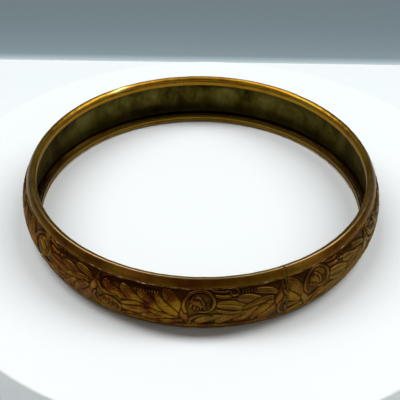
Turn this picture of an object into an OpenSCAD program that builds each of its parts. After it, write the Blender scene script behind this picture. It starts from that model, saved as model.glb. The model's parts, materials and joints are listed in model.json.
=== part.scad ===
// Slip-on bangle: one strip of thin brass pressed with scroll ornament, bent into a domed ring and edged
// above and below with a rolled rim. Each rim is closed over a core wire and turns down inside as a flat lip.
// The origin is at the centre of the face that the bangle stands on, +Z is up along the ring's axis, and
// the soldered seam is at the front right. All sizes are in millimetres.

/* [Bangle] */
// Clear diameter inside the lips, the size that the bangle is sold by
inner_d = 63.5; // [55:0.5:75]
// Height over both rims
overall_h = 11.7; // [9:0.1:16]
// Depth of the wall, from the inner lips to the crest of the ornament
wall_depth = 3.1; // [2.6:0.1:4]

/* [Rims] */
// Diameter of the rolled crown of a rim
crown_d = 2.1; // [2:0.05:2.3]
// Distance from the inner lip to the middle of the crown
crown_inset = 0.8; // [0.7:0.05:0.9]
// Height of a rim from the top of its crown to the edge of its lip
rim_h = 1.9; // [1.2:0.1:2.5]
// Width of the flat that wear has left along the top of a crown
worn_flat_w = 0.5; // [0.3:0.1:0.8]
// Diameter of the core wire in each rim
wire_d = 0.9; // [0.7:0.05:0.9]

/* [Sheet and seam] */
// Thickness of the sheet
sheet_t = 0.3; // [0.2:0.05:0.3]
// Direction of the seam, counted from the front towards the right
seam_angle = 25.2; // [-180:0.1:180]
// Width of the solder in the seam
seam_w = 0.25; // [0.15:0.05:0.5]
// Direction of the joint in the core wires, away from the seam so that they bridge it
wire_joint_angle = -147; // [-180:1:180]
// Gap left between the ends of a core wire
wire_gap = 0.3; // [0.1:0.1:1]

/* [Hidden] */
$fn = 96;

BRASS = [0.45, 0.32, 0.10];
POLISHED_BRASS = [0.66, 0.50, 0.18];
SOLDER = [0.30, 0.27, 0.16];

// Clearance left round a core wire, and how far the solder lies below the surfaces that it joins
wire_clearance = 0.02;
solder_sink = 0.04;

// The upper rim's crown is a circle cut by the worn flat, and its outer leg ends where it meets the band
inner_r = inner_d / 2;
crown_r = crown_d / 2;
crown_centre_r = inner_r + crown_inset;
crown_rise = sqrt(crown_r * crown_r - worn_flat_w * worn_flat_w / 4);
crown_centre_z = overall_h - crown_rise;
leg_drop = crown_r / 4;
meet_z = crown_centre_z - leg_drop;
meet_r = crown_centre_r + sqrt(crown_r * crown_r - leg_drop * leg_drop);

// The lip stops inside the crown, where its outer side reaches the crown's hollow
hollow_r = crown_r - sheet_t;
lip_inset = crown_inset - sheet_t;
lip_bottom_z = overall_h - rim_h;
lip_top_z = crown_centre_z + sqrt(hollow_r * hollow_r - lip_inset * lip_inset);

// The band's section is an arc through both meeting points and the crest
crest_r = inner_r + wall_depth;
mid_z = overall_h / 2;
band_half_h = meet_z - mid_z;
dome_rise = crest_r - meet_r;
dome_r = (band_half_h * band_half_h + dome_rise * dome_rise) / (2 * dome_rise);

// The core wire lies against the lip and the underside of the crown
wire_r = wire_d / 2;
wire_centre_r = inner_r + sheet_t + wire_r + wire_clearance;
wire_side = crown_centre_r - wire_centre_r;
wire_reach = hollow_r - wire_r - wire_clearance;
wire_centre_z = crown_centre_z + sqrt(wire_reach * wire_reach - wire_side * wire_side);

// Angles about +Z, from +X, of the seam and the wires' joint, and the angles that they take up
front = -90;
seam_at = front + seam_angle;
seam_span = seam_w / crest_r * 180 / PI;
wire_joint_at = front + wire_joint_angle;
wire_joint_span = wire_gap / wire_centre_r * 180 / PI;

// Turns a section into a ring that is open over a span centred on one angle
module open_ring(gap_at, gap_span) {
    rotate([0, 0, gap_at + gap_span / 2])
        rotate_extrude(angle = 360 - gap_span)
            children();
}

// Turns a section into the short piece that fills the seam
module seam_fill() {
    rotate([0, 0, seam_at - seam_span / 2])
        rotate_extrude(angle = seam_span)
            children();
}

// Turns a piece of the upper rim over to make the same piece of the lower rim
module turned_over() {
    translate([0, 0, overall_h])
        mirror([0, 0, 1])
            children();
}

// Section of the band, with its outer face sunk by the given depth
module band_section(sink) {
    intersection() {
        translate([crest_r - dome_r, mid_z])
            difference() {
                circle(r = dome_r - sink, $fn = 360);
                circle(r = dome_r - sheet_t, $fn = 360);
            }
        translate([inner_r, mid_z - band_half_h])
            square([wall_depth, 2 * band_half_h]);
    }
}

// Section of the upper rim, its crown and its lip, with the faces that show sunk by the given depth
module rim_section(sink) {
    translate([crown_centre_r, crown_centre_z])
        intersection() {
            difference() {
                circle(r = crown_r - sink);
                circle(r = hollow_r);
            }
            translate([sink - crown_inset, -leg_drop])
                square([crown_d, leg_drop + crown_rise - sink]);
        }
    translate([inner_r + sink, lip_bottom_z])
        square([sheet_t - sink, lip_top_z - lip_bottom_z]);
}

// Pressed strip with the ornament, bent into a ring whose ends meet at the seam
module relief_band() {
    color(BRASS)
        open_ring(seam_at, seam_span)
            band_section(0);
}

// Rolled edging that closes the top of the band
module upper_rim() {
    color(POLISHED_BRASS)
        open_ring(seam_at, seam_span)
            rim_section(0);
}

// Rolled edging that closes the bottom of the band, on which the bangle stands
module lower_rim() {
    turned_over()
        upper_rim();
}

// Round wire that the upper rim is rolled over
module upper_rim_wire() {
    color(BRASS)
        open_ring(wire_joint_at, wire_joint_span)
            translate([wire_centre_r, wire_centre_z])
                circle(d = wire_d);
}

// Round wire that the lower rim is rolled over
module lower_rim_wire() {
    turned_over()
        upper_rim_wire();
}

// Solder between the two ends of the band
module band_seam_solder() {
    color(SOLDER)
        seam_fill()
            band_section(solder_sink);
}

// Solder between the two ends of the upper rim
module upper_rim_seam_solder() {
    color(SOLDER)
        seam_fill()
            rim_section(solder_sink);
}

// Solder between the two ends of the lower rim
module lower_rim_seam_solder() {
    turned_over()
        upper_rim_seam_solder();
}

relief_band();
upper_rim();
lower_rim();
upper_rim_wire();
lower_rim_wire();
band_seam_solder();
upper_rim_seam_solder();
lower_rim_seam_solder();
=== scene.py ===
"""Brass bangle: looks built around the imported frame.

Everything is in metres in the frame's own axes, with +Z up along the ring's axis and -Y at the front.
Sizes of the ornament and of wear are written in millimetres and turned into metres by MM.
"""
import json
import math

import bpy
import numpy as np
from mathutils import Matrix, Vector


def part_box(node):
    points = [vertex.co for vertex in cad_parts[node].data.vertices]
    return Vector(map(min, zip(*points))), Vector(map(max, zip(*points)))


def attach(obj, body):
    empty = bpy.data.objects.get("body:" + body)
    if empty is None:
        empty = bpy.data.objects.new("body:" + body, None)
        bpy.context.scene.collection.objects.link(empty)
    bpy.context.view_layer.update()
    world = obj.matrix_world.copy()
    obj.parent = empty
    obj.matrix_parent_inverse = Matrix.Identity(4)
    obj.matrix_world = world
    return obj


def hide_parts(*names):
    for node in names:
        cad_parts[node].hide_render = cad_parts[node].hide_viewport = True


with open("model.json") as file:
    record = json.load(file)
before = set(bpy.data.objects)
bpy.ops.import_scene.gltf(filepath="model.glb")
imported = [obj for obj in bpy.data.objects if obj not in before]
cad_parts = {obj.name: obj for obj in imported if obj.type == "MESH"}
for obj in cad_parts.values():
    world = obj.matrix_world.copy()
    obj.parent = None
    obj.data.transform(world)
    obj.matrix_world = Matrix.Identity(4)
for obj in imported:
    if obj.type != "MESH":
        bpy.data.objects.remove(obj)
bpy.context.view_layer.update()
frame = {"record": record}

MM = 0.001
TURN = 2 * math.pi

# ---------------------------------------------------------------- sizes read from the frame


def mount(name):
    """One mount of the frame's record."""
    return next(m for m in frame["record"]["mounts"] if m["name"] == name)


BAND_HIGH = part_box("relief_band")[1]
RIM_LOW, RIM_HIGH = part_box("upper_rim")
SEAM_LOW, SEAM_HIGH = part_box("upper_rim_seam_solder")

INNER_R = mount("wrist_opening")["dims"]["r_mm"] * MM
CREST_R = BAND_HIGH.y
TOP_Z = RIM_HIGH.z
MID_Z = TOP_Z / 2
LIP_BOTTOM_Z = RIM_LOW.z
BAND_HALF_H = BAND_HIGH.z - MID_Z
SEAM_MIDDLE = (SEAM_LOW + SEAM_HIGH) / 2
SEAM_AT = math.atan2(SEAM_MIDDLE.y, SEAM_MIDDLE.x)

# Sizes that the frame's boxes don't show
SHEET_T = 0.3 * MM
SEAM_W = 0.25 * MM
CROWN_R = 1.05 * MM
CROWN_INSET = 0.8 * MM
WORN_FLAT_W = 0.5 * MM

CROWN_CENTRE_R = INNER_R + CROWN_INSET
CROWN_CENTRE_Z = TOP_Z - math.sqrt(CROWN_R ** 2 - (WORN_FLAT_W / 2) ** 2)
LEG_DROP = CROWN_CENTRE_Z - BAND_HIGH.z
MEET_R = CROWN_CENTRE_R + math.sqrt(CROWN_R ** 2 - LEG_DROP ** 2)
DOME_RISE = CREST_R - MEET_R
DOME_R = (BAND_HALF_H ** 2 + DOME_RISE ** 2) / (2 * DOME_RISE)
DOME_CENTRE_R = CREST_R - DOME_R
DOME_HALF_ANGLE = math.asin(BAND_HALF_H / DOME_R)
SEAM_SPAN = SEAM_W / CREST_R

# ---------------------------------------------------------------- camera

CAMERA_LENS = 74.75
CAMERA_SENSOR = 36.0
CAMERA_DISTANCE = 167.9 * MM
CAMERA_ELEVATION = math.radians(38.45)
CAMERA_ROLL = math.radians(0.8)
CAMERA_AIM = Vector((-0.19, 0.85, 1.41)) * MM
NEAREST_SEEN = 0.01
FARTHEST_SEEN = 20


def add_camera():
    """Camera in front of the bangle and above it, a little rolled."""
    forward = Vector((0, math.cos(CAMERA_ELEVATION), -math.sin(CAMERA_ELEVATION)))
    level = Vector((1, 0, 0))
    upright = level.cross(forward)
    right = level * math.cos(CAMERA_ROLL) + upright * math.sin(CAMERA_ROLL)
    up = upright * math.cos(CAMERA_ROLL) - level * math.sin(CAMERA_ROLL)
    camera = bpy.data.objects.new("camera", bpy.data.cameras.new("camera"))
    camera.data.lens = CAMERA_LENS
    camera.data.sensor_width = CAMERA_SENSOR
    camera.data.clip_start = NEAREST_SEEN
    camera.data.clip_end = FARTHEST_SEEN
    rotation = Matrix((right, up, -forward)).transposed().to_4x4()
    camera.matrix_world = Matrix.Translation(CAMERA_AIM - forward * CAMERA_DISTANCE) @ rotation
    bpy.context.scene.collection.objects.link(camera)
    bpy.context.scene.camera = camera


add_camera()

# ---------------------------------------------------------------- ornament, in millimetres

# One cell holds one scroll. The next cell round the band is the same one upside down.
CELL_LENGTH = 16.3
HALF_WIDTH = DOME_R * DOME_HALF_ANGLE / MM
GRID_STEP = 0.04

# Heights of the crest, of the groove round a form, of the ground and of a form's edge
RELIEF_DEPTH = 0.36
TRENCH = -0.02
GROUND = 0.08
FORM_EDGE = 0.2

# A form slopes down from EDGE_INSIDE within its outline to EDGE_OUTSIDE beyond it. Round it lies a groove,
# which rises back to the ground over the width of OUTLINE_FADE.
EDGE_INSIDE = 0.09
EDGE_OUTSIDE = 0.01
OUTLINE = 0.07
OUTLINE_FADE = 0.1

# Lines cut into a leaf: their half width and depth, and the shares of the leaf's width that the veins reach
# and that the lines along it are spread over
MARK_HALF_WIDTH = 0.07
MARK_DEPTH = 0.17
MARK_REACH = 0.92
LINE_SPREAD = 0.85

# Shape of a leaf: the share of its length at which it is widest, how fast it narrows, and how blunt it is
LEAF_FULLEST = 0.42
LEAF_TAPER = 1.3
LEAF_BLUNTNESS = 0.75


def curve_through(points, pieces=24):
    """Points along a smooth curve through the given ones."""
    given = np.array(points, float)
    ends = np.vstack([2 * given[0] - given[1], given, 2 * given[-1] - given[-2]])
    per_span = max(4, pieces // (len(given) - 1))
    t = np.linspace(0, 1, per_span, endpoint=False)[:, None]
    spans = []
    for before, start, stop, after in zip(ends, ends[1:], ends[2:], ends[3:]):
        bend = 2 * before - 5 * start + 4 * stop - after
        twist = 3 * start - before - 3 * stop + after
        spans.append(start + 0.5 * ((stop - before) * t + bend * t ** 2 + twist * t ** 3))
    return np.vstack(spans + [given[-1:]])


def measure_along(curve, u, v):
    """Each point's distance to the curve, its share of the way along it, and the curve's length."""
    nearest = np.full(u.shape, np.inf)
    share = np.zeros(u.shape)
    steps = np.diff(curve, axis=0)
    lengths = np.hypot(steps[:, 0], steps[:, 1])
    done = 0.0
    for start, step, length in zip(curve, steps, lengths):
        t = np.clip(((u - start[0]) * step[0] + (v - start[1]) * step[1]) / length ** 2, 0, 1)
        gap = np.hypot(u - start[0] - t * step[0], v - start[1] - t * step[1])
        closer = gap < nearest
        nearest = np.where(closer, gap, nearest)
        share = np.where(closer, np.minimum((done + t * length) / lengths.sum(), 1), share)
        done += length
    return nearest, share, lengths.sum()


def ease(x, low, high):
    """0 below low, 1 above high and a smooth rise between them."""
    t = np.clip((x - low) / (high - low), 0, 1)
    return t * t * (3 - 2 * t)


def ramp_ends(share, first, last):
    """1 along the middle of a stroke, falling to 0 over the given shares at its ends."""
    return np.clip(np.minimum((share + 0.02) / first, (1.02 - share) / last), 0, 1)


class Ornament:
    """Height of the pressed relief over two cells, in millimetres.

    It is counted from a level that lies RELIEF_DEPTH below the crest.
    """

    def __init__(self):
        columns = round(2 * CELL_LENGTH / GRID_STEP)
        rows = round(2 * HALF_WIDTH / GRID_STEP)
        along = np.linspace(0, 2 * CELL_LENGTH, columns, endpoint=False)
        across = np.linspace(-HALF_WIDTH, HALF_WIDTH, rows)
        self.grid_u, self.grid_v = np.meshgrid(along, across)
        self.height = np.full_like(self.grid_u, GROUND)

    def paint(self, curve, reach, shape):
        """Changes the height wherever the pattern repeats a stroke. shape gets what measure_along gives."""
        low = curve.min(0) - reach
        high = curve.max(0) + reach
        for cell in range(-1, 4):
            u = self.grid_u - cell * CELL_LENGTH
            v = self.grid_v if cell % 2 == 0 else -self.grid_v
            near = (u > low[0]) & (u < high[0]) & (v > low[1]) & (v < high[1])
            if near.any():
                self.height[near] = shape(self.height[near], *measure_along(curve, u[near], v[near]))

    def groove(self, points, half_width, depth, first=0.2, last=0.2):
        """A line cut into whatever is there."""
        def shape(height, gap, share, _length):
            taper = ramp_ends(share, first, last)
            return height - depth * taper * np.exp(-((gap / (half_width * (0.5 + 0.5 * taper))) ** 2))

        self.paint(curve_through(points), 3 * half_width, shape)

    def raised(self, height, edge_gap, across, crown):
        """A form with a rounded top inside its edge, and a dark groove just outside it."""
        top = FORM_EDGE + crown * np.sqrt(np.clip(1 - across ** 2, 0, 1))
        inside = 1 - ease(edge_gap, -EDGE_INSIDE, EDGE_OUTSIDE)
        cut = np.minimum(height, TRENCH)
        trench = 1 - ease(edge_gap, OUTLINE, OUTLINE + OUTLINE_FADE)
        ground = height * (1 - trench) + cut * trench
        return ground * (1 - inside) + top * inside

    def stem(self, points, half_width, crown=0.1, first=0.1, last=0.1):
        """A rounded line of even width that narrows at its ends."""
        def shape(height, gap, share, _length):
            width = half_width * np.maximum(ramp_ends(share, first, last) ** 0.6, 0.05)
            return self.raised(height, gap - width, gap / width, crown)

        self.paint(curve_through(points), half_width + OUTLINE + OUTLINE_FADE, shape)

    def leaf(self, points, half_width, crown=0.1, veins=0, lines=1):
        """A pointed leaf. lines is the number of cuts along it, and veins the number of slanted ones."""
        def shape(height, gap, share, length):
            grow = LEAF_TAPER * LEAF_FULLEST
            shrink = LEAF_TAPER * (1 - LEAF_FULLEST)
            most = LEAF_FULLEST ** grow * (1 - LEAF_FULLEST) ** shrink
            outline = (share ** grow * (1 - share) ** shrink / most) ** LEAF_BLUNTNESS
            width = half_width * np.maximum(outline, 0.02)
            across = gap / width
            formed = self.raised(height, gap - width, across, crown)
            marks = np.exp(-((gap / MARK_HALF_WIDTH) ** 2)) * (lines % 2)
            pairs = lines // 2
            for line in range(1, 1 + pairs):
                from_line = (across - line / (1 + pairs) * LINE_SPREAD) * width
                marks = marks + np.exp(-((from_line / MARK_HALF_WIDTH) ** 2))
            if veins:
                phase = (share * length - 1.2 * gap) * veins / length
                marks = marks + (0.5 + 0.5 * np.cos(TURN * phase)) ** 4 * ease(across, 0.1, 0.3)
            marks = np.clip(marks, 0, 1) * ease(share, 0.02, 0.15) * (1 - ease(share, 0.85, 0.97))
            return formed - MARK_DEPTH * marks * (across < MARK_REACH)

        self.paint(curve_through(points), half_width + OUTLINE + OUTLINE_FADE, shape)


def draw_right_side(ornament):
    """The leaves that lean to the right of a scroll, the farthest ones first."""
    ornament.leaf([(9.0, 3.5), (10.6, 3.3), (12.3, 2.8), (13.9, 1.8)], 0.62)
    ornament.leaf([(5.9, -3.5), (6.5, -2.3), (7.9, -1.0), (10.9, 0.5)], 1.1, veins=10)
    ornament.leaf([(2.7, -3.6), (3.4, -2.4), (4.8, -1.2), (7.7, -0.2)], 1.1, veins=10)
    ornament.leaf([(-0.8, -3.4), (-0.2, -2.5), (1.0, -1.7), (3.7, -0.8)], 0.9, veins=8)
    ornament.leaf([(6.1, 2.6), (8.2, 2.1), (10.2, 1.3), (12.5, 0.4)], 0.95, lines=4, crown=0.08)
    ornament.leaf([(2.5, 0.5), (4.2, -0.1), (5.6, -0.4), (7.2, -0.2)], 0.5)
    ornament.leaf([(2.5, 1.6), (4.3, 1.4), (6.2, 1.0), (8.5, 0.15)], 0.9, lines=2)


def draw_left_side(ornament):
    """The three leaves that spread to the left of a scroll."""
    ornament.leaf([(-3.8, -1.6), (-5.8, -1.4), (-7.6, -1.0), (-9.4, -0.3)], 0.6, lines=2)
    ornament.leaf([(-3.6, -0.4), (-4.3, 1.3), (-5.2, 2.7), (-6.3, 4.2)], 1.3, veins=8)
    ornament.leaf([(-3.8, -1.0), (-5.3, 0.1), (-6.6, 1.4), (-7.7, 3.2)], 0.9, veins=8)


def draw_arch(ornament):
    """The deep line along the edge far from the scroll, a thin rib outside it and a row of knots inside."""
    arch = [
        (-1.9, -2.6),
        (-1.2, -3.25),
        (0.0, -3.75),
        (1.8, -3.95),
        (4.2, -3.85),
        (7.0, -3.65),
        (9.4, -3.7),
    ]
    rib_offset = 0.42
    knots = 9
    ornament.groove(arch, 0.34, 0.6, last=0.15)
    ornament.stem([(u, v - rib_offset) for u, v in arch[:5]], 0.12, crown=0.16, last=0.3)
    for knot in range(knots):
        u = 5.0 + 0.5 * knot
        v = -3.15 - 0.02 * knot
        ornament.stem([(u, v + 0.1), (u + 0.12, v - 0.14)], 0.2, crown=0.16, first=0.3, last=0.3)


def draw_top(ornament):
    """Two stems that run from the scroll along its edge to a small open ring, and the comb after it."""
    ring_u = 5.75
    ring_v = 3.72
    comb_u = 6.9
    tooth_spacing = 0.52
    ornament.stem([(2.2, 3.35), (3.4, 3.05), (4.6, 3.0), (5.5, 3.3)], 0.3)
    ornament.stem([(1.7, 4.25), (3.0, 4.0), (4.2, 3.9), (5.0, 4.25)], 0.2)
    ring = [
        (ring_u + 0.72 * math.cos(math.radians(turn)), ring_v + 0.62 * math.sin(math.radians(turn)))
        for turn in range(-200, 120, 20)
    ]
    ornament.stem(ring, 0.18)
    for tooth in range(5):
        u = comb_u + tooth_spacing * tooth
        ornament.stem([(u, 3.25), (u + 0.22, 3.6), (u + 0.25, 4.05)], 0.17, first=0.4, last=0.4)


def scroll_line():
    """The turn of the scroll: it comes in from outside its circle, goes round over it and curls inwards."""
    centre_v = 2.1
    radius = 2.1
    stretch = 1.1
    points = []
    for degrees in range(222, -132, -12):
        reach = radius
        if degrees > 90:
            reach += ((degrees - 90) / 132) ** 2
        if degrees < -60:
            reach -= 0.4 * (-60 - degrees) / 60
        angle = math.radians(degrees)
        points.append((stretch * reach * math.cos(angle), centre_v + reach * math.sin(angle)))
    return points


def draw_scroll(ornament):
    """The scroll on its two stalks, and in it a low disc, a hook, three petals and four short strokes."""
    disc = [(-0.1, 2.0), (0.3, 2.05)]
    hook = [(0.3, 0.75), (0.5, 1.6), (0.25, 2.5), (-0.45, 3.0), (-1.1, 2.7)]
    petals = [(-1.75, 1.45, 0.25, 0.8), (-1.1, 1.05, 0.1, 0.75), (-0.45, 0.85, -0.1, 0.6)]
    ornament.stem([(-2.0, -3.9), (-2.1, -2.6), (-2.9, -0.9), (-3.2, 0.6)], 0.62, first=0.3, last=0.3)
    ornament.stem([(-2.1, -2.7), (-1.4, -1.45), (-0.5, -0.85), (0.6, -0.65), (1.9, -0.8)], 0.3, last=0.5)
    ornament.stem(disc, 1.75, crown=0.02, first=0.01, last=0.01)
    ornament.stem(scroll_line(), 0.3, first=0.02, last=0.12)
    ornament.stem(hook, 0.26, first=0.4, last=0.15)
    for u, v, lean, rise in petals:
        ornament.stem([(u, v - rise / 2), (u + lean / 3, v), (u + lean, v + rise * 0.6)], 0.24, last=0.3)
    for row in range(4):
        v = 0.85 + 0.45 * row
        ornament.stem([(0.95, v - 0.15), (1.3, v), (1.75, v + 0.38)], 0.15, first=0.3, last=0.4)


def draw_ornament():
    """All the strokes, each laid over the ones before it."""
    ornament = Ornament()
    draw_right_side(ornament)
    draw_left_side(ornament)
    draw_arch(ornament)
    draw_top(ornament)
    draw_scroll(ornament)
    return ornament


# ---------------------------------------------------------------- mesh helpers


def loft(name, rings):
    """A smooth mesh through rings of points, each ring a closed loop, with a flat cap at each end."""
    around, across, _ = rings.shape
    ring = np.arange(around - 1)[:, None] * across
    next_ring = ring + across
    here = np.arange(across)[None, :]
    after = (here + 1) % across
    sides = np.stack([ring + here, ring + after, next_ring + after, next_ring + here], axis=2).ravel()
    first_cap = np.arange(across)[::-1]
    last_cap = (around - 1) * across + np.arange(across)
    loops = np.concatenate([sides, first_cap, last_cap])
    starts = np.concatenate([np.arange(0, len(sides), 4), [len(sides), len(sides) + across]])
    mesh = bpy.data.meshes.new(name)
    mesh.vertices.add(around * across)
    mesh.vertices.foreach_set("co", rings.reshape(-1).astype(np.float32))
    mesh.loops.add(len(loops))
    mesh.loops.foreach_set("vertex_index", loops.astype(np.int32))
    mesh.polygons.add(len(starts))
    mesh.polygons.foreach_set("loop_start", starts.astype(np.int32))
    mesh.update(calc_edges=True)
    smooth = np.ones(len(starts), bool)
    smooth[-2:] = False
    mesh.polygons.foreach_set("use_smooth", smooth)
    piece = bpy.data.objects.new(name, mesh)
    bpy.context.scene.collection.objects.link(piece)
    return piece


def store(piece, name, values):
    """Keeps one value per point for the material to read."""
    layer = piece.data.attributes.new(name, "FLOAT", "POINT")
    layer.data.foreach_set("value", np.asarray(values, np.float32).ravel())


def turned(radius, height, angle):
    """Points at the given distances from the axis, heights and angles."""
    along_x = radius * np.cos(angle)
    along_y = radius * np.sin(angle)
    return np.stack([along_x, along_y, np.broadcast_to(height, along_x.shape)], axis=-1)


def open_angles(gap_at, gap_span, count):
    """Angles all the way round from one side of a gap to the other."""
    return np.linspace(gap_at + gap_span / 2, gap_at + TURN - gap_span / 2, count)


def ripple(angle, waves, seed):
    """A smooth wobble between about -1 and 1 that closes on itself after a turn."""
    rng = np.random.default_rng(seed)
    total = np.zeros_like(angle)
    for wave in waves:
        total += rng.normal() * np.sin(wave * angle + rng.uniform(0, TURN))
    return total / (1.5 * math.sqrt(len(waves)))


# ---------------------------------------------------------------- band

BAND_COLUMNS = 2700
BAND_ROWS = 120
BACK_ROWS = 14

# Angle from the seam to the first scroll after it, and the angle that one cell takes up
FIRST_SCROLL = math.radians(10.6)
CELL_SPAN = math.radians(27.04)

# The ornament fades out between these two distances from the band's edge
FADE_FROM = 0.45
FADE_TO = 0.2

# Border bead: its half width, its distance from the band's edge, its height, and how uneven it is
BEAD_WIDTH = 0.14
BEAD_FROM_EDGE = 0.22
BEAD_HEIGHT = 0.33
BEAD_LUMPS = 0.07
BEAD_SHAKE = 0.035

# Reach, in steps of the ornament's grid, of the softening of the face and of the back
FACE_SOFTNESS = 1
BACK_SOFTNESS = 9

# Share of the relief that shows on the back, and the width over which it flattens out at the edges
BACK_SHARE = 0.5
BACK_EDGE_WIDTH = 0.9
FACE_EDGE_WIDTH = 0.2

# How far the highest points stay below the crest
CREST_CLEARANCE = 0.005


def soften(heights, reach):
    """Blurs a map that repeats along its second axis, by averaging over a few passes."""
    soft = heights
    for _ in range(3):
        rows = np.pad(soft, ((reach, reach), (0, 0)), mode="edge")
        soft = sum(rows[k:k + soft.shape[0]] for k in range(2 * reach + 1)) / (2 * reach + 1)
        soft = sum(np.roll(soft, k, axis=1) for k in range(-reach, reach + 1)) / (2 * reach + 1)
    return soft


def sample(heights, u, v):
    """Reads a map of the ornament at places along it and across it."""
    columns = np.mod(u, 2 * CELL_LENGTH) / (2 * CELL_LENGTH) * heights.shape[1]
    rows = np.clip((v + HALF_WIDTH) / (2 * HALF_WIDTH), 0, 1) * (heights.shape[0] - 1)
    left = np.floor(columns).astype(int)
    low = np.minimum(np.floor(rows).astype(int), heights.shape[0] - 2)
    across = columns - left
    up = rows - low
    left = left % heights.shape[1]
    right = (left + 1) % heights.shape[1]
    bottom = heights[low, left] * (1 - across) + heights[low, right] * across
    top = heights[low + 1, left] * (1 - across) + heights[low + 1, right] * across
    return bottom * (1 - up) + top * up


def with_border(height, v, angles):
    """Ends the ornament at a plain strip and a slightly uneven bead along each edge of the band.

    Gives the height with the border, and the share of each point that belongs to the bead.
    """
    plain = ease(np.abs(v), HALF_WIDTH - FADE_FROM, HALF_WIDTH - FADE_TO)
    lumps = ripple(angles[:, None], (97, 149, 211, 260), 5)
    shake = ripple(angles[:, None], (31, 53, 88), 6)
    middle = HALF_WIDTH - BEAD_FROM_EDGE - BEAD_SHAKE * shake
    bead = np.exp(-(((middle - np.abs(v)) / BEAD_WIDTH) ** 2)) * (1 + BEAD_LUMPS * lumps)
    return np.maximum(height * (1 - plain), BEAD_HEIGHT * bead), np.clip(bead, 0, 1)


def on_dome(v, sink, angles):
    """Points on the band's section, v millimetres along it from the middle and sunk by the given depth."""
    tilt = v / HALF_WIDTH * DOME_HALF_ANGLE
    radius = DOME_R - sink
    return turned(DOME_CENTRE_R + radius * np.cos(tilt), MID_Z + radius * np.sin(tilt), angles[:, None])


def build_band():
    """The domed strip: its face with the ornament, and its back, which follows the ornament softly."""
    heights = soften(draw_ornament().height, FACE_SOFTNESS)
    broad = soften(heights, BACK_SOFTNESS)
    angles = open_angles(SEAM_AT, SEAM_SPAN, BAND_COLUMNS)
    u = ((angles - SEAM_AT - FIRST_SCROLL) / CELL_SPAN * CELL_LENGTH)[:, None]
    v = np.linspace(-HALF_WIDTH, HALF_WIDTH, BAND_ROWS)[None, :]
    height, bead = with_border(sample(heights, u, v), v, angles)
    height = np.minimum(height, RELIEF_DEPTH - CREST_CLEARANCE)
    sink = (RELIEF_DEPTH - height) * (1 - ease(np.abs(v), HALF_WIDTH - FACE_EDGE_WIDTH, HALF_WIDTH)) * MM
    outer = on_dome(v, sink, angles)
    back_v = np.linspace(HALF_WIDTH, -HALF_WIDTH, BACK_ROWS)[None, :]
    back_sink = RELIEF_DEPTH - BACK_SHARE * sample(broad, u, back_v)
    back_sink = back_sink * (1 - ease(np.abs(back_v), HALF_WIDTH - BACK_EDGE_WIDTH, HALF_WIDTH)) * MM
    inner = on_dome(back_v, back_sink + SHEET_T, angles)
    band = loft("band_relief", np.concatenate([outer, inner], axis=1)[::-1])
    hollow = (sample(broad, u, v) - height) / RELIEF_DEPTH
    # The bead keeps its own colour mostly along the upper edge; the lower bead is left darker as painted
    # shade.
    upper_more = 0.2 + 0.8 * ease(v, -0.5, 0.5)
    plain_back = np.zeros((BAND_COLUMNS, BACK_ROWS))
    for name, front, back in (
        ("height", height / RELIEF_DEPTH, plain_back),
        ("hollow", hollow, plain_back),
        ("bead_polish_and_shade", bead ** 2 * upper_more, plain_back),
        ("front", np.ones_like(height), plain_back),
        ("across", np.broadcast_to(v / HALF_WIDTH, height.shape), plain_back + back_v / HALF_WIDTH),
    ):
        store(band, name, np.concatenate([front, back], axis=1)[::-1])
    return band


# ---------------------------------------------------------------- rims

RIM_COLUMNS = 900
CROWN_PIECES = 72
LIP_ROWS = 12
LIP_EDGE_ROWS = 8
LIP_BACK_ROWS = 6


def arc(centre_r, centre_z, radius, first, last, count):
    """Section points round a centre, from one angle to another, in degrees from straight outwards."""
    angles = np.radians(np.linspace(first, last, count))
    return np.stack([centre_r + radius * np.cos(angles), centre_z + radius * np.sin(angles)], axis=1)


# Line of the worn crown, from under the crease above the lip out to the band. Each point is
# a distance out from the opening and a drop from the top, in millimetres.
CROWN_LINE = [
    (0.06, 0.98),
    (0.09, 0.85),
    (0.02, 0.72),
    (0.0, 0.61),
    (0.04, 0.48),
    (0.14, 0.34),
    (0.27, 0.22),
    (0.41, 0.12),
    (0.58, 0.03),
    (0.78, 0.0),
    (1.0, 0.09),
    (1.22, 0.31),
    (1.43, 0.57),
    (1.62, 0.85),
    (1.76, 1.12),
    (1.84, 1.3),
]

# Thickness of the sheet over the crown, and how far the lip's face lies behind the crown's innermost line
CROWN_SHEET = 0.16
LIP_INSET = 0.05

# How far below the crown's end the face of the lip and its back begin
LIP_FACE_GAP = 0.08
LIP_BACK_GAP = 0.1

# Dark line in the crease, painted shade with some patina: its drop from the top, its half width and its
# strength
CREASE_DROP = 0.83
CREASE_HALF_WIDTH = 0.09
CREASE_SHADE_AND_PATINA = 0.8

# Drops from the top between which one zone gives way to the next: the worn crown to the lip, the painted
# highlight at the dent to the rest, the brown outside to the edge by the band, clean brass to the tarnished
# lip
CROWN_ENDS = (0.9, 1.3)
DENT_ENDS = (0.5, 0.7)
OUTSIDE_ENDS = (1.25, 1.4)
LIP_BEGINS = (1.25, 1.5)
# Lowest drop that the crest's pale painted reflection reaches
CREST_LOWEST = 0.6

# Distances out from the opening between which a zone begins or ends
INNER_SIDE_ENDS = (0.5, 1.2)
OUTSIDE_BEGINS = (0.8, 1.15)
# Zone of the crest that carries the pale painted reflection
CREST_BEGINS = (0.68, 0.84)
CREST_ENDS = (0.96, 1.12)

# Strength of the tarnish on the two lips
UPPER_LIP_PATINA = 0.1
LOWER_LIP_PATINA = 1.0

# How far wear has moved the crown's inner side outwards and its top down, in long waves and in short ones
WEAR_OUT = 0.025
FINE_WEAR_OUT = 0.012
WEAR_DOWN = 0.018
FINE_WEAR_DOWN = 0.01

# A knock at the back left of the upper rim has pushed the crown outwards and down
DENT_AT = math.radians(-90 - 146)
DENT_HALF_SPAN = math.radians(3.5)
DENT_OUT = 0.14
DENT_DOWN = 0.03


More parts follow.
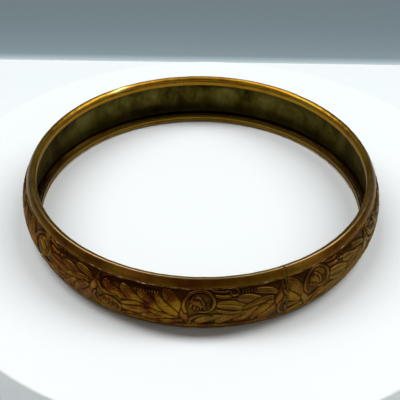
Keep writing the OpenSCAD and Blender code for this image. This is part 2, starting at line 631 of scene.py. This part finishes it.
def rim_section(sunk=0.0):
    """Closed section of the upper rim: over the crown, down the lip, round its edge and back up inside."""
    line = curve_through(CROWN_LINE, CROWN_PIECES) * MM
    crown = np.stack([INNER_R + np.maximum(line[:, 0], 0), TOP_Z - np.maximum(line[:, 1], 0)], axis=1)
    along = np.gradient(crown, axis=0)
    along /= np.hypot(along[:, 0], along[:, 1])[:, None]
    inward = np.stack([along[:, 1], -along[:, 0]], axis=1)
    hollow = (crown + CROWN_SHEET * MM * inward)[::3]
    crown += sunk * inward
    lip_r = INNER_R + LIP_INSET * MM + sunk
    back_r = INNER_R + SHEET_T
    edge_r = (back_r - lip_r) / 2
    edge_z = LIP_BOTTOM_Z + sunk + edge_r
    lip = [(lip_r, z) for z in np.linspace(crown[0, 1] - LIP_FACE_GAP * MM, edge_z, LIP_ROWS)]
    edge = arc(lip_r + edge_r, edge_z, edge_r, 190, 350, LIP_EDGE_ROWS)
    lip_back = [(back_r, z) for z in np.linspace(edge_z, hollow[0, 1] - LIP_BACK_GAP * MM, LIP_BACK_ROWS)]
    return np.concatenate([crown[::-1], lip, edge, lip_back, hollow])


def build_rim(name, upper):
    """A rim, unevenly worn. The lower one is the upper one's section turned over, without the dent."""
    section = rim_section()
    angles = open_angles(SEAM_AT, SEAM_SPAN, RIM_COLUMNS)[:, None]
    seed = 3 if upper else 4
    wobble = ripple(angles, (5, 9, 14, 23, 37), seed)
    shake = ripple(angles, (41, 67, 90), seed + 10)
    drop = (TOP_Z - section[None, :, 1]) / MM
    from_lip = (section[None, :, 0] - INNER_R) / MM
    crown_share = 1 - ease(drop, *CROWN_ENDS)
    inner_side = 1 - ease(from_lip, *INNER_SIDE_ENDS)
    from_dent = np.angle(np.exp(1j * (angles - DENT_AT)))
    dent = np.exp(-((from_dent / DENT_HALF_SPAN) ** 2)) * upper
    outward = WEAR_OUT * (1 + wobble) + FINE_WEAR_OUT * shake + DENT_OUT * dent
    sag = WEAR_DOWN * (1 - wobble) + FINE_WEAR_DOWN * shake + DENT_DOWN * dent
    radius = section[None, :, 0] + np.clip(outward, 0, None) * crown_share * inner_side * MM
    height = section[None, :, 1] - np.clip(sag, 0, None) * crown_share * MM
    rings = turned(radius, height, angles)
    if upper:
        rings = rings[::-1]
    else:
        rings[..., 2] = TOP_Z - rings[..., 2]
    rim = loft(name, rings)
    # Masks for the material: painted shade with patina in the crease, patina on the lip, the brown outside,
    # the painted highlight at the dent and the pale painted reflection along the crest
    crease = np.exp(-(((drop - CREASE_DROP) / CREASE_HALF_WIDTH) ** 2)) * (inner_side > 0.5)
    lip = ease(drop, *LIP_BEGINS) * (inner_side > 0.5) * (UPPER_LIP_PATINA if upper else LOWER_LIP_PATINA)
    crest = ease(from_lip, *CREST_BEGINS) * (1 - ease(from_lip, *CREST_ENDS))
    for look, values in (
        ("patina", np.clip(np.maximum(CREASE_SHADE_AND_PATINA * crease, lip), 0, 1)),
        ("outer", ease(from_lip, *OUTSIDE_BEGINS) * (1 - ease(drop, *OUTSIDE_ENDS))),
        ("dent_highlight", dent * (1 - ease(drop, *DENT_ENDS))),
        ("crest", crest * (drop < CREST_LOWEST)),
    ):
        everywhere = np.broadcast_to(values, radius.shape)
        store(rim, look, everywhere[::-1] if upper else everywhere)
    return rim


# ---------------------------------------------------------------- wires and solder

# Direction from +X in which a core wire's ends meet, and the gap between them
WIRE_JOINT_AT = math.radians(-90 - 147)
WIRE_GAP = 0.3 * MM
WIRE_SIDES = 24
WIRE_COLUMNS = 400

# How far the solder lies below a rim's faces, below the band's edges, and below its ornament
RIM_SOLDER_SUNK = 0.03 * MM
BAND_SOLDER_SUNK = 0.04 * MM
ORNAMENT_SOLDER_SUNK = 0.45 * RELIEF_DEPTH * MM
BAND_SOLDER_T = 0.25 * MM
SOLDER_ROWS = 40


def build_wire(node):
    """The core wire as drawn in the frame, remade as a smooth tube."""
    low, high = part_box(node)
    wire_r = (high.z - low.z) / 2
    centre_r = high.x - wire_r
    centre_z = (high.z + low.z) / 2
    section = arc(centre_r, centre_z, wire_r, 0, 360 - 360 / WIRE_SIDES, WIRE_SIDES)
    angles = open_angles(WIRE_JOINT_AT, WIRE_GAP / centre_r, WIRE_COLUMNS)
    rings = turned(section[None, :, 0], section[None, :, 1], angles[:, None])
    return loft(node.replace("_wire", "_core_wire"), rings[::-1])


def seam_angles():
    """Angles across the seam."""
    return np.linspace(SEAM_AT - SEAM_SPAN / 2, SEAM_AT + SEAM_SPAN / 2, 4)[:, None]


def build_band_solder():
    """Solder between the band's ends, a little below the ornament's edges."""
    tilts = np.linspace(-DOME_HALF_ANGLE, DOME_HALF_ANGLE, SOLDER_ROWS)
    edge = ease(np.abs(tilts), DOME_HALF_ANGLE * 0.9, DOME_HALF_ANGLE)
    outer = DOME_R - BAND_SOLDER_SUNK - ORNAMENT_SOLDER_SUNK * (1 - edge)
    inner = outer - BAND_SOLDER_T
    section = np.concatenate([
        np.stack([DOME_CENTRE_R + outer * np.cos(tilts), MID_Z + outer * np.sin(tilts)], axis=1),
        np.stack([DOME_CENTRE_R + inner * np.cos(tilts), MID_Z + inner * np.sin(tilts)], axis=1)[::-1],
    ])
    rings = turned(section[None, :, 0], section[None, :, 1], seam_angles())
    return loft("band_solder", rings[::-1])


def build_rim_solder(name, upper):
    """Solder between a rim's ends, filed just below the brass."""
    section = rim_section(RIM_SOLDER_SUNK)
    rings = turned(section[None, :, 0], section[None, :, 1], seam_angles())
    if upper:
        return loft(name, rings[::-1])
    rings[..., 2] = TOP_Z - rings[..., 2]
    return loft(name, rings)


# ---------------------------------------------------------------- materials

# Places of the colour sockets in a mix node, which has a set of sockets for every kind of value
MIX_FIRST_COLOUR = 6
MIX_SECOND_COLOUR = 7
MIX_COLOUR_RESULT = 2


def new_material(name):
    """A material with one shader and nothing else, its tree and the shader."""
    material = bpy.data.materials.new(name)
    material.use_nodes = True
    tree = material.node_tree
    tree.nodes.clear()
    output = tree.nodes.new("ShaderNodeOutputMaterial")
    shader = tree.nodes.new("ShaderNodeBsdfPrincipled")
    tree.links.new(shader.outputs["BSDF"], output.inputs["Surface"])
    return material, tree, shader


def noise(tree, scale, detail, roughness=0.55, stretch=(1, 1, 1)):
    """Noise in the object's own metres, mostly between 0.3 and 0.7."""
    coordinates = tree.nodes.new("ShaderNodeTexCoord")
    mapping = tree.nodes.new("ShaderNodeMapping")
    mapping.inputs["Scale"].default_value = stretch
    texture = tree.nodes.new("ShaderNodeTexNoise")
    texture.inputs["Scale"].default_value = scale
    texture.inputs["Detail"].default_value = detail
    texture.inputs["Roughness"].default_value = roughness
    tree.links.new(coordinates.outputs["Object"], mapping.inputs["Vector"])
    tree.links.new(mapping.outputs["Vector"], texture.inputs["Vector"])
    return texture.outputs["Fac"]


def ramp(tree, source, stops):
    """Colours along the given positions of a source."""
    node = tree.nodes.new("ShaderNodeValToRGB")
    elements = node.color_ramp.elements
    while len(elements) < len(stops):
        elements.new(0.5)
    for element, (position, colour) in zip(elements, stops):
        element.position = position
        element.color = (*colour, 1)
    tree.links.new(source, node.inputs["Fac"])
    return node.outputs["Color"]


def span(tree, source, low, high, out_low, out_high):
    """The source's values from low to high, moved to another span and kept within it."""
    node = tree.nodes.new("ShaderNodeMapRange")
    node.inputs["From Min"].default_value = low
    node.inputs["From Max"].default_value = high
    node.inputs["To Min"].default_value = out_low
    node.inputs["To Max"].default_value = out_high
    tree.links.new(source, node.inputs["Value"])
    return node.outputs["Result"]


def mixed(tree, factor, first, second):
    """The first colour where the factor is 0 and the second where it is 1."""
    node = tree.nodes.new("ShaderNodeMix")
    node.data_type = "RGBA"
    tree.links.new(factor, node.inputs["Factor"])
    for value, socket in ((first, MIX_FIRST_COLOUR), (second, MIX_SECOND_COLOUR)):
        if isinstance(value, tuple):
            node.inputs[socket].default_value = (*value, 1)
        else:
            tree.links.new(value, node.inputs[socket])
    return node.outputs[MIX_COLOUR_RESULT]


def combine(tree, operation, first, second):
    """Two values added, multiplied or compared, and kept between 0 and 1."""
    node = tree.nodes.new("ShaderNodeMath")
    node.operation = operation
    node.use_clamp = True
    tree.links.new(first, node.inputs[0])
    tree.links.new(second, node.inputs[1])
    return node.outputs[0]


def attribute(tree, name):
    """The value that store() kept for each point."""
    node = tree.nodes.new("ShaderNodeAttribute")
    node.attribute_name = name
    return node.outputs["Fac"]


def add_bump(tree, shader, source, distance, strength):
    """Fine texture on top of the modelled shape."""
    node = tree.nodes.new("ShaderNodeBump")
    node.inputs["Strength"].default_value = strength
    node.inputs["Distance"].default_value = distance
    tree.links.new(source, node.inputs["Height"])
    tree.links.new(node.outputs["Normal"], shader.inputs["Normal"])


# Colour of the light that brass reflects at a glancing angle
BRASS_EDGE = (0.93, 0.84, 0.67, 1)

# Tones of the band's face, from worn brass to dirt, and the painted shade laid over its upper side and in
# its recesses
RUBBED_BRASS = (0.23, 0.105, 0.018)
FACE_TONES = [(0.38, (0.075, 0.014, 0.002)), (0.5, (0.14, 0.043, 0.004)), (0.6, (0.22, 0.112, 0.007))]
OLIVE_BRASS = (0.13, 0.078, 0.013)
UPPER_SHADE_BRASS = (0.045, 0.012, 0.002)
DIRT_AND_SHADE = (0.014, 0.004, 0.0006)
BEAD_TONES = [(0.42, (0.09, 0.03, 0.004)), (0.58, (0.3, 0.17, 0.05)), (0.7, (0.75, 0.55, 0.28))]

# Tones of the band's back: patina, and the near-black painted shade of its lower part
PATINA_TONES = [(0.35, (0.012, 0.008, 0.001)), (0.5, (0.06, 0.048, 0.007)), (0.65, (0.105, 0.09, 0.02))]
LOWER_BACK_SHADE = (0.012, 0.008, 0.0005)

# Tones of the rims, with a painted highlight at the dent, a pale painted reflection along the crest, and
# painted shade added to the patina in the crease
RIM_TONES = [(0.3, (0.19, 0.070, 0.002)), (0.5, (0.27, 0.135, 0.006)), (0.7, (0.25, 0.155, 0.010))]
DENT_HIGHLIGHT_BRASS = (0.62, 0.45, 0.13)
OUTER_BRASS = (0.1, 0.03, 0.002)
CREST_REFLECTION_BRASS = (0.18, 0.12, 0.056)
RIM_SPOTS = (0.07, 0.03, 0.003)
RIM_PATINA_AND_SHADE = (0.03, 0.024, 0.001)

WIRE_TONES = [(0.3, (0.12, 0.08, 0.03)), (0.7, (0.33, 0.23, 0.08))]
SOLDER_TONES = [(0.3, (0.045, 0.032, 0.006)), (0.7, (0.12, 0.085, 0.022))]


def relief_brass():
    """Aged brass: dirt and painted shade in the recesses, painted shade over the upper side, worn high
    points, beads left darker along the lower edge as painted shade, and olive patina on the back, painted
    near black as shade over its lower part.
    """
    material, tree, shader = new_material("relief_brass_look")
    height = attribute(tree, "height")
    hollow = attribute(tree, "hollow")
    front = attribute(tree, "front")
    across = attribute(tree, "across")
    bead_polish_and_shade = attribute(tree, "bead_polish_and_shade")
    drift = noise(tree, 45, 2)
    broad = noise(tree, 420, 3, 0.6)
    fine = noise(tree, 2600, 4)
    gold = ramp(tree, broad, FACE_TONES)
    olive = mixed(tree, span(tree, drift, 0.42, 0.62, 0, 0.7), gold, OLIVE_BRASS)
    worn = mixed(tree, span(tree, height, 0.72, 1.0, 0, 0.5), olive, RUBBED_BRASS)
    # Painted shade: the upper side of the face is darkened.
    shaded = mixed(tree, span(tree, across, 0.3, 0.85, 0, 0.75), worn, UPPER_SHADE_BRASS)
    # Painted shade with dirt: recesses and the low ground are darkened, and fine pores add dirt.
    recesses = span(tree, hollow, 0.04, 0.5, 0, 0.8)
    pores = span(tree, fine, 0.55, 0.8, 0, 0.4)
    ground = span(tree, height, 0.1, 0.5, 0.9, 0)
    dirt_and_shade_mask = combine(tree, "MAXIMUM", combine(tree, "ADD", recesses, pores), ground)
    with_dirt_and_shade = mixed(tree, dirt_and_shade_mask, shaded, DIRT_AND_SHADE)
    # Bead colour, kept weak on the lower bead as painted shade.
    outside = mixed(tree, bead_polish_and_shade, with_dirt_and_shade, ramp(tree, noise(tree, 700, 3), BEAD_TONES))
    tarnish = ramp(tree, noise(tree, 160, 6, 0.7, (1, 1, 0.6)), PATINA_TONES)
    # Painted shade: the lower part of the back turns near black.
    inside = mixed(tree, span(tree, across, -0.7, 0.1, 0.8, 0), tarnish, LOWER_BACK_SHADE)
    tree.links.new(mixed(tree, front, inside, outside), shader.inputs["Base Color"])
    shader.inputs["Specular Tint"].default_value = BRASS_EDGE
    shader.inputs["Metallic"].default_value = 1.0
    dull_recesses = span(tree, hollow, 0, 0.4, 0.34, 0.6)
    cloudiness = span(tree, broad, 0.3, 0.7, -0.05, 0.12)
    tree.links.new(combine(tree, "ADD", dull_recesses, cloudiness), shader.inputs["Roughness"])
    add_bump(tree, shader, fine, 0.02 * MM, 0.6)
    return material


def rim_brass():
    """Polished brass: a pale painted reflection along the crest, a painted highlight at the dent, brown
    outside the crest, and tarnish on the lips with painted shade in the crease.
    """
    material, tree, shader = new_material("rim_brass_look")
    broad = noise(tree, 160, 4, 0.6)
    fine = noise(tree, 2400, 4)
    gold = ramp(tree, broad, RIM_TONES)
    # Painted highlight: a bright patch on the crown at the dent.
    with_dent_highlight = mixed(tree, attribute(tree, "dent_highlight"), gold, DENT_HIGHLIGHT_BRASS)
    cloudy = span(tree, broad, 0.35, 0.65, 0.9, 0.45)
    browned = mixed(tree, combine(tree, "MULTIPLY", attribute(tree, "outer"), cloudy), with_dent_highlight, OUTER_BRASS)
    # Painted reflection: a pale colour along the crest, where the lamps' highlight falls.
    with_crest_reflection = mixed(tree, span(tree, attribute(tree, "crest"), 0, 1, 0, 0.85), browned, CREST_REFLECTION_BRASS)
    spotted = mixed(tree, span(tree, fine, 0.55, 0.75, 0, 0.6), with_crest_reflection, RIM_SPOTS)
    # Patina on the lips, and painted shade in the crease.
    stained_and_shaded = mixed(tree, attribute(tree, "patina"), spotted, RIM_PATINA_AND_SHADE)
    tree.links.new(stained_and_shaded, shader.inputs["Base Color"])
    shader.inputs["Metallic"].default_value = 1.0
    tree.links.new(span(tree, broad, 0.3, 0.7, 0.3, 0.4), shader.inputs["Roughness"])
    shader.inputs["Specular Tint"].default_value = BRASS_EDGE
    shader.inputs["Coat Weight"].default_value = 0.08
    shader.inputs["Coat Roughness"].default_value = 0.25
    add_bump(tree, shader, fine, 0.01 * MM, 0.5)
    return material


def wire_brass():
    """Drawn wire, unpolished."""
    material, tree, shader = new_material("wire_brass_look")
    tree.links.new(ramp(tree, noise(tree, 500, 3), WIRE_TONES), shader.inputs["Base Color"])
    shader.inputs["Metallic"].default_value = 1.0
    shader.inputs["Roughness"].default_value = 0.5
    add_bump(tree, shader, noise(tree, 3000, 3), 0.01 * MM, 0.5)
    return material


def seam_solder():
    """Dull hard solder, darker than the brass."""
    material, tree, shader = new_material("seam_solder_look")
    tree.links.new(ramp(tree, noise(tree, 900, 3), SOLDER_TONES), shader.inputs["Base Color"])
    shader.inputs["Metallic"].default_value = 1.0
    shader.inputs["Roughness"].default_value = 0.5
    add_bump(tree, shader, noise(tree, 4000, 3), 0.02 * MM, 0.7)
    return material


# ---------------------------------------------------------------- the object


def place(piece, node, material):
    """Gives a piece its material, ties it to the frame's body and hides the frame's node that it replaces.
    """
    piece.data.materials.clear()
    piece.data.materials.append(material)
    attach(piece, "root")
    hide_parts(node)


RIM_LOOK = rim_brass()
WIRE_LOOK = wire_brass()
SOLDER_LOOK = seam_solder()

place(build_band(), "relief_band", relief_brass())
place(build_rim("rim_upper", True), "upper_rim", RIM_LOOK)
place(build_rim("rim_lower", False), "lower_rim", RIM_LOOK)
place(build_wire("upper_rim_wire"), "upper_rim_wire", WIRE_LOOK)
place(build_wire("lower_rim_wire"), "lower_rim_wire", WIRE_LOOK)
place(build_band_solder(), "band_seam_solder", SOLDER_LOOK)
place(build_rim_solder("rim_upper_solder", True), "upper_rim_seam_solder", SOLDER_LOOK)
place(build_rim_solder("rim_lower_solder", False), "lower_rim_seam_solder", SOLDER_LOOK)

# ---------------------------------------------------------------- stage and light

# The turntable's top lies a hair below the bangle, and the table below the turntable
FLOOR_Z = -0.00005
TURNTABLE_CENTRE = np.array([0.00205, 0.0033, 0])
TURNTABLE_R = 0.0573
TURNTABLE_H = 0.014
TURNTABLE_ROUNDING = 0.0004
TABLE_Z = -0.015
TABLE_FRONT_Y = -0.6
TABLE_BACK_Y = 0.087
TABLE_HALF_W = 1

# The wall leans back a little. Only the part of it between these heights shows.
WALL_HALF_W = 3
WALL_HALF_H = 1
WALL_FOOT_Y = 0.6
WALL_TOP_Y = 0.8
WALL_SEEN_FROM_Z = -0.34
WALL_SEEN_TO_Z = -0.266
WALL_GREY = (0.19, 0.25, 0.28)
# Colours of the wall's painted glow, from the lowest part that shows upwards
WALL_GLOW_TONES = [
    (0.03, (0.55, 0.60, 0.62)),
    (0.1, (0.27, 0.34, 0.37)),
    (0.15, (0.155, 0.20, 0.225)),
    (0.3, (0.125, 0.165, 0.185)),
    (0.6, (0.095, 0.125, 0.14)),
    (1.0, (0.08, 0.105, 0.118)),
]

TALL_LAMP = (0.22, 0.6)
LOW_LAMP = (0.07, 0.25)
LAMPS = [
    ("lamp_right", (0.40, 0.07, 0.60), TALL_LAMP, 3.3),
    ("lamp_left", (-0.33, 0.07, 0.63), TALL_LAMP, 3.3),
    ("lamp_low_right", (0.50, -0.22, 0.25), LOW_LAMP, 0.13),
    ("lamp_low_left", (-0.35, -0.42, 0.26), LOW_LAMP, 0.1),
]
ROOM_LIGHT = (0.95, 0.88, 0.78, 1)
ROOM_STRENGTH = 0.19


def plain_material(name, colour, roughness):
    """One even colour."""
    material, _, shader = new_material(name)
    shader.inputs["Base Color"].default_value = (*colour, 1)
    shader.inputs["Roughness"].default_value = roughness
    return material


def wall_material():
    """Grey sheet that glows with painted light, darker upwards and pale just above the table's far edge."""
    material, tree, shader = new_material("wall_grey_glow")
    shader.inputs["Base Color"].default_value = (*WALL_GREY, 1)
    shader.inputs["Roughness"].default_value = 0.8
    # Painted light: the wall glows in a gradient by height.
    shader.inputs["Emission Strength"].default_value = 1.0
    coordinates = tree.nodes.new("ShaderNodeTexCoord")
    split = tree.nodes.new("ShaderNodeSeparateXYZ")
    tree.links.new(coordinates.outputs["Object"], split.inputs["Vector"])
    rise = span(tree, split.outputs["Z"], WALL_SEEN_FROM_Z, WALL_SEEN_TO_Z, 0, 1)
    tree.links.new(ramp(tree, rise, WALL_GLOW_TONES), shader.inputs["Emission Color"])
    return material


def add_sheet(name, corners, material):
    """A flat four-cornered part of the stage."""
    mesh = bpy.data.meshes.new(name)
    mesh.from_pydata(corners, [], [(0, 1, 2, 3)])
    mesh.materials.append(material)
    sheet = bpy.data.objects.new(name, mesh)
    bpy.context.scene.collection.objects.link(sheet)


def add_turntable(material):
    """Round plate that the bangle stands on, with a rounded edge."""
    rounded = arc(
        TURNTABLE_R - TURNTABLE_ROUNDING, FLOOR_Z - TURNTABLE_ROUNDING, TURNTABLE_ROUNDING, 90, 0, 8
    )
    section = np.concatenate([rounded, [[TURNTABLE_R, FLOOR_Z - TURNTABLE_H]]])
    angles = np.linspace(0, TURN, 180, endpoint=False)
    rings = turned(section[:, None, 0], section[:, None, 1], angles[None, :]) + TURNTABLE_CENTRE
    plate = loft("turntable", rings[::-1])
    plate.data.materials.append(material)


def add_lamp(name, location, size, power):
    """A soft lamp that faces the bangle."""
    data = bpy.data.lights.new(name, "AREA")
    data.shape = "RECTANGLE"
    data.size, data.size_y = size
    data.energy = power
    lamp = bpy.data.objects.new(name, data)
    lamp.location = location
    lamp.rotation_euler = (-Vector(location)).to_track_quat("-Z", "Y").to_euler()
    bpy.context.scene.collection.objects.link(lamp)


add_turntable(plain_material("floor_white", (0.83, 0.87, 0.885), 0.6))
add_sheet(
    "table",
    [
        (-TABLE_HALF_W, TABLE_FRONT_Y, TABLE_Z),
        (TABLE_HALF_W, TABLE_FRONT_Y, TABLE_Z),
        (TABLE_HALF_W, TABLE_BACK_Y, TABLE_Z),
        (-TABLE_HALF_W, TABLE_BACK_Y, TABLE_Z),
    ],
    plain_material("table_white", (0.80, 0.85, 0.87), 0.6),
)
add_sheet(
    "wall",
    [
        (-WALL_HALF_W, WALL_FOOT_Y, -WALL_HALF_H),
        (WALL_HALF_W, WALL_FOOT_Y, -WALL_HALF_H),
        (WALL_HALF_W, WALL_TOP_Y, WALL_HALF_H),
        (-WALL_HALF_W, WALL_TOP_Y, WALL_HALF_H),
    ],
    wall_material(),
)
for lamp_name, lamp_location, lamp_size, lamp_power in LAMPS:
    add_lamp(lamp_name, lamp_location, lamp_size, lamp_power)

world = bpy.data.worlds.new("world")
world.use_nodes = True
world.node_tree.nodes["Background"].inputs["Color"].default_value = ROOM_LIGHT
world.node_tree.nodes["Background"].inputs["Strength"].default_value = ROOM_STRENGTH
bpy.context.scene.world = world
bpy.context.scene.view_settings.view_transform = "Standard"
